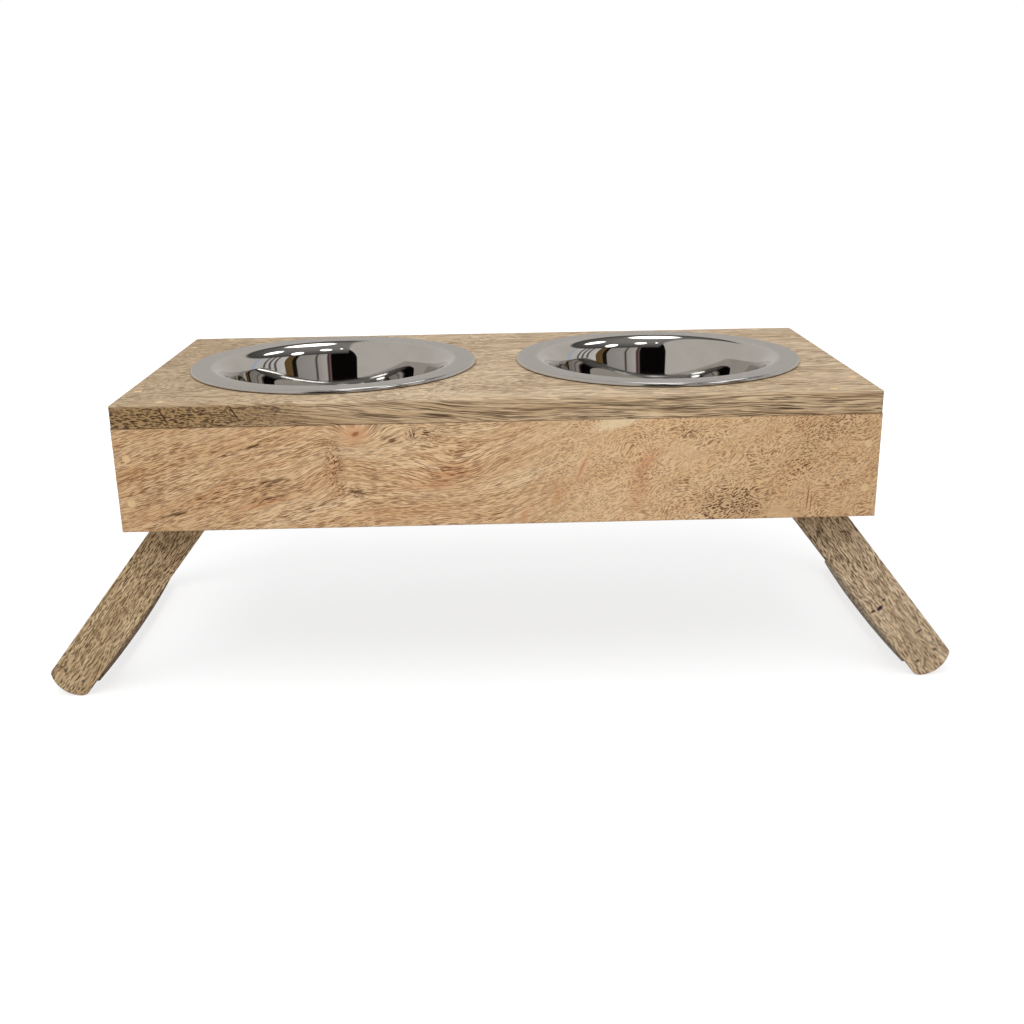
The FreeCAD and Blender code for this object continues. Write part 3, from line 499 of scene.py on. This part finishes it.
def bowl_profile():
    """Inner face of the bowl from the lip of its rim to the middle of its base, heights from the board."""
    quarter = math.pi / 2
    base_z = FLANGE_RISE - BOWL_DEPTH
    wall_foot_z = base_z + BASE_BEND * (1 - math.sin(WALL_LEAN))
    wall_head_z = FLANGE_RISE - MOUTH_BEND * (1 - math.sin(WALL_LEAN))
    wall_head_r = FLANGE_START - MOUTH_BEND * math.cos(WALL_LEAN)
    wall_foot_r = wall_head_r - (wall_head_z - wall_foot_z) * math.tan(WALL_LEAN)
    base_r = wall_foot_r - BASE_BEND * math.cos(WALL_LEAN)
    yield RIM_RADIUS, SEAT_GAP
    yield from bend_stations(RIM_RADIUS - RIM_BEND, FLANGE_RISE - RIM_BEND, RIM_BEND, 0, quarter, 8)
    yield RIM_RADIUS - RIM_BEND - FLAT_INSET, FLANGE_RISE
    yield FLANGE_START + FLAT_INSET, FLANGE_RISE
    mouth_z = FLANGE_RISE - MOUTH_BEND
    yield from bend_stations(FLANGE_START, mouth_z, MOUTH_BEND, quarter, math.pi - WALL_LEAN, 32)
    for share in (0.01, 0.5, 0.99):
        wall_r = wall_head_r + (wall_foot_r - wall_head_r) * share
        yield wall_r, wall_head_z + (wall_foot_z - wall_head_z) * share
    yield from bend_stations(base_r, base_z + BASE_BEND, BASE_BEND, -WALL_LEAN, -quarter, 32)
    for share in (0.99, 0.5, 0.25):
        yield base_r * share, base_z


for side, centre_x in (("left", -BOWL_OFFSET), ("right", BOWL_OFFSET)):
    bpy.ops.object.select_all(action="DESELECT")
    stations = list(bowl_profile())
    radius, height = stations[0]
    place = (centre_x, 0, TOP_HIGH + height)
    bpy.ops.mesh.primitive_circle_add(vertices=RING_POINTS, radius=radius, location=place)
    bowl = bpy.context.object
    bowl.name = f"{side}_steel_bowl"
    bpy.ops.object.transform_apply(location=True)
    bpy.ops.object.mode_set(mode="EDIT")
    for next_radius, next_height in stations[1:]:
        bpy.ops.mesh.extrude_region_move(TRANSFORM_OT_translate={"value": (0, 0, next_height - height)})
        share = next_radius / radius
        place = (centre_x, 0, TOP_HIGH + next_height)
        bpy.ops.transform.resize(value=(share, share, 1), center_override=place)
        radius, height = next_radius, next_height
    bpy.ops.mesh.extrude_region_move()
    bpy.ops.mesh.merge(type="CENTER")
    bpy.ops.mesh.select_all(action="SELECT")
    bpy.ops.mesh.remove_doubles(threshold=0.00001)
    bpy.ops.mesh.normals_make_consistent(inside=False)
    bpy.ops.object.mode_set(mode="OBJECT")
    upward = sum(face.normal.z for face in bowl.data.polygons)
    if upward < 0:
        bowl.data.flip_normals()
    sheet = bowl.modifiers.new("sheet", "SOLIDIFY")
    sheet.thickness = STEEL
    sheet.offset = -1
    bpy.ops.object.modifier_apply(modifier=sheet.name)
    bpy.ops.object.shade_smooth_by_angle(angle=math.radians(40))

    steel, tree, shader, point = begin_material(f"{side}_bowl_steel")
    middle = arrow(tree, "SUBTRACT", point, (centre_x, 0, 0))
    flat = arrow(tree, "MULTIPLY", middle, (1, 1, 0))
    reach = add_node(tree, "VectorMath", (flat,), output="Value", operation="LENGTH")
    flange = ease(tree, reach, SATIN_START, FLANGE_START)
    flange = calc(tree, "MULTIPLY", flange, ease(tree, reach, *POLISHED_EDGE, 1.0, 0.0))
    rings = add_node(tree, "TexNoise", {"W": reach, "Scale": 2500.0, "Detail": 2.0}, noise_dimensions="1D")
    smear = speckle(tree, middle, (0.03, 0.03, 0.02), 3.0)
    colour = tones(tree, smear, (0.3, paint(206, 204, 201)), (0.7, paint(216, 214, 211)))
    above = calc(tree, "SUBTRACT", add_node(tree, "SeparateXYZ", (point,), output="Z"), TOP_HIGH)
    # Painted shadow and reflection: the foot of the turned-down edge, in the last millimetre or so above the
    # board, is darkened where it meets the wood.
    lip = ease(tree, above, *RIM_SHADOW_HEIGHT, 0.85, 0.0)
    lip = calc(tree, "MULTIPLY", lip, ease(tree, reach, *RIM_SHADOW_REACH))
    colour = tint(tree, flange, colour, paint(198, 196, 194))
    colour = tint(tree, lip, colour, paint(58, 50, 42))
    tree.links.new(colour, shader.inputs["Base Color"])
    satin = calc(tree, "MULTIPLY_ADD", rings, 0.10, 0.26)
    polish = calc(tree, "MULTIPLY_ADD", smear, 0.03, 0.02)
    polish = calc(tree, "MULTIPLY_ADD", ease(tree, reach, *POLISHED_EDGE), 0.14, polish)
    tree.links.new(blend(tree, flange, polish, satin), shader.inputs["Roughness"])
    shader.inputs["Metallic"].default_value = 1.0
    bowl.data.materials.append(steel)
    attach(bowl, f"{side}_bowl")
    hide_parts(f"{side}_bowl")

# Studio: a pale paper floor that keeps the shadow, and a light tent for the polished steel to mirror.
# The tent has dark and pale panels and a row of slats at the front right, and bright ovals overhead.
# One broad soft lamp lights the wood.
bpy.ops.object.select_all(action="DESELECT")
bpy.ops.mesh.primitive_plane_add(size=40)
floor = bpy.context.object
floor.name = "studio_floor"
paper, tree, shader, point = begin_material("floor_paper")
seen = add_node(tree, "LightPath", output="Is Camera Ray")
paper_tone = speckle(tree, point, (0.5, 0.5, 0.5), 2.0)
paper_white = tones(tree, paper_tone, (0.3, (0.62, 0.62, 0.62, 1)), (0.7, (0.64, 0.64, 0.64, 1)))
tree.links.new(tint(tree, seen, paper_white, (0.30, 0.30, 0.30, 1)), shader.inputs["Base Color"])
shader.inputs["Roughness"].default_value = 0.9
shader.inputs["Specular IOR Level"].default_value = 0.0
shader.inputs["Emission Color"].default_value = (1, 1, 1, 1)
away = add_node(tree, "VectorMath", (point,), output="Value", operation="LENGTH")
glow = calc(tree, "MULTIPLY", seen, ease(tree, away, 0.35, 1.1, 0.76, 1.0))
tree.links.new(glow, shader.inputs["Emission Strength"])
floor.data.materials.append(paper)

world = bpy.data.worlds.new("light_tent")
bpy.context.scene.world = world
world.use_nodes = True
tree = world.node_tree
background = tree.nodes["Background"]
path = tree.nodes.new("ShaderNodeLightPath")
towards = add_node(tree, "TexCoord", output="Generated")
split = add_node(tree, "SeparateXYZ", (towards,)).node
to_right, to_back, up = split.outputs[0], split.outputs[1], split.outputs[2]
turn = calc(tree, "ARCTAN2", to_right, calc(tree, "MULTIPLY", to_back, -1.0))
sweep = add_node(tree, "MapRange", (turn, -0.35, 2.05, 0.0, 1.0))
DARK_PANEL = (0.003, 0.002, 0.002, 1)
DARK_STRIP = (0.01, 0.008, 0.006, 1)
panels = tones(
    tree, sweep,
    (0.000, (0.50, 0.48, 0.45, 1)),
    (0.010, DARK_PANEL),
    (0.228, DARK_PANEL),
    (0.238, (0.20, 0.13, 0.12, 1)),
    (0.258, (0.03, 0.012, 0.01, 1)),
    (0.270, (0.52, 0.49, 0.46, 1)),
    (0.340, (0.42, 0.39, 0.36, 1)),
    (0.355, (0.02, 0.015, 0.012, 1)),
    (0.372, (0.40, 0.38, 0.35, 1)),
    (0.525, (0.34, 0.32, 0.30, 1)),
    (0.532, DARK_STRIP),
    (0.565, DARK_STRIP),
    (0.575, (0.16, 0.10, 0.04, 1)),
    (0.635, (0.13, 0.08, 0.03, 1)),
    (0.642, (0.70, 0.68, 0.66, 1)),
    (0.700, (0.62, 0.60, 0.58, 1)),
    (0.930, (0.60, 0.58, 0.56, 1)),
    (0.965, (0.45, 0.52, 0.64, 1)),
)
slats = ease(tree, calc(tree, "SINE", calc(tree, "MULTIPLY", turn, 46.0)), -0.1, 0.5, 0.0, 0.85)
slats = calc(tree, "MULTIPLY", slats, ease(tree, turn, 1.30, 1.36))
slats = calc(tree, "MULTIPLY", slats, ease(tree, turn, 1.74, 1.80, 1.0, 0.0))
panels = tint(tree, slats, panels, (0.05, 0.035, 0.035, 1))
panel_side = calc(tree, "MULTIPLY", ease(tree, turn, -0.34, -0.32), ease(tree, turn, 2.0, 2.04, 1.0, 0.0))
tent = tint(tree, panel_side, (0.57, 0.54, 0.50, 1), panels)
gloom = tones(tree, up, (0.62, (0.05, 0.047, 0.045, 1)), (0.80, (0.14, 0.134, 0.128, 1)),
              (0.95, (0.25, 0.24, 0.23, 1)))
overhead = calc(tree, "MULTIPLY", ease(tree, up, 0.62, 0.67), ease(tree, to_right, -0.17, -0.13))
tent = tint(tree, overhead, tent, gloom)
BRIGHT_OVALS = (
    (0.07, 0.36, 0.14, 0.22),
    (0.48, 0.27, 0.09, 0.14),
    (0.54, -0.28, 0.10, 0.12),
    (0.155, -0.38, 0.09, 0.10),
    (-0.05, -0.36, 0.02, 0.04),
)
for x, y, half_x, half_y in BRIGHT_OVALS:
    gap = arrow(tree, "MULTIPLY", arrow(tree, "SUBTRACT", towards, (x, y, 0)), (1 / half_x, 1 / half_y, 0))
    gap = add_node(tree, "VectorMath", (gap,), output="Value", operation="LENGTH")
    shine = calc(tree, "MULTIPLY", ease(tree, gap, 0.75, 1.0, 1.0, 0.0), ease(tree, up, 0.3, 0.4))
    tent = tint(tree, shine, tent, (4.0, 4.0, 4.0, 1))
lit = tint(tree, path.outputs["Is Glossy Ray"], (0.62, 0.62, 0.63, 1), tent)
shown = calc(tree, "MAXIMUM", path.outputs["Is Camera Ray"], path.outputs["Is Transmission Ray"])
tree.links.new(tint(tree, shown, lit, (1, 1, 1, 1)), background.inputs["Color"])

LAMP_PLACE = (-0.2, -1.0, 2.0)
LAMP_AIM = Vector((0, 0, 0.2))
bpy.ops.object.light_add(type="AREA", location=LAMP_PLACE)
lamp = bpy.context.object
lamp.name = "overhead_lamp"
lamp.data.shape = "DISK"
lamp.data.size = 1.8
lamp.data.energy = 30
lamp.visible_glossy = False
lamp.rotation_euler = (LAMP_AIM - lamp.location).to_track_quat("-Z", "Y").to_euler()

# Camera: a step in front of the feeder and a little above the bowls.
# Its place, turn, tilt and lens give the photograph's view of the feeder.
CAMERA_PLACE = (-0.00765, -1.06474, TOP_HIGH + 0.20424)
CAMERA_YAW = math.radians(1.0668)
CAMERA_PITCH = math.radians(18.1087)
CAMERA_ROLL = math.radians(-0.9267)
LENS_MM = 41.762
SENSOR_MM = 36.0
bpy.ops.object.camera_add()
camera = bpy.context.object
camera.name = "front_camera"
camera.data.lens = LENS_MM
camera.data.sensor_width = SENSOR_MM
camera.matrix_world = (
    Matrix.Translation(CAMERA_PLACE)
    @ Matrix.Rotation(-CAMERA_YAW, 4, "Z")
    @ Matrix.Rotation(math.pi / 2 - CAMERA_PITCH, 4, "X")
    @ Matrix.Rotation(CAMERA_ROLL, 4, "Z")
)
bpy.context.scene.camera = camera
bpy.context.scene.view_settings.view_transform = "Standard"

bpy.context.view_layer.update()
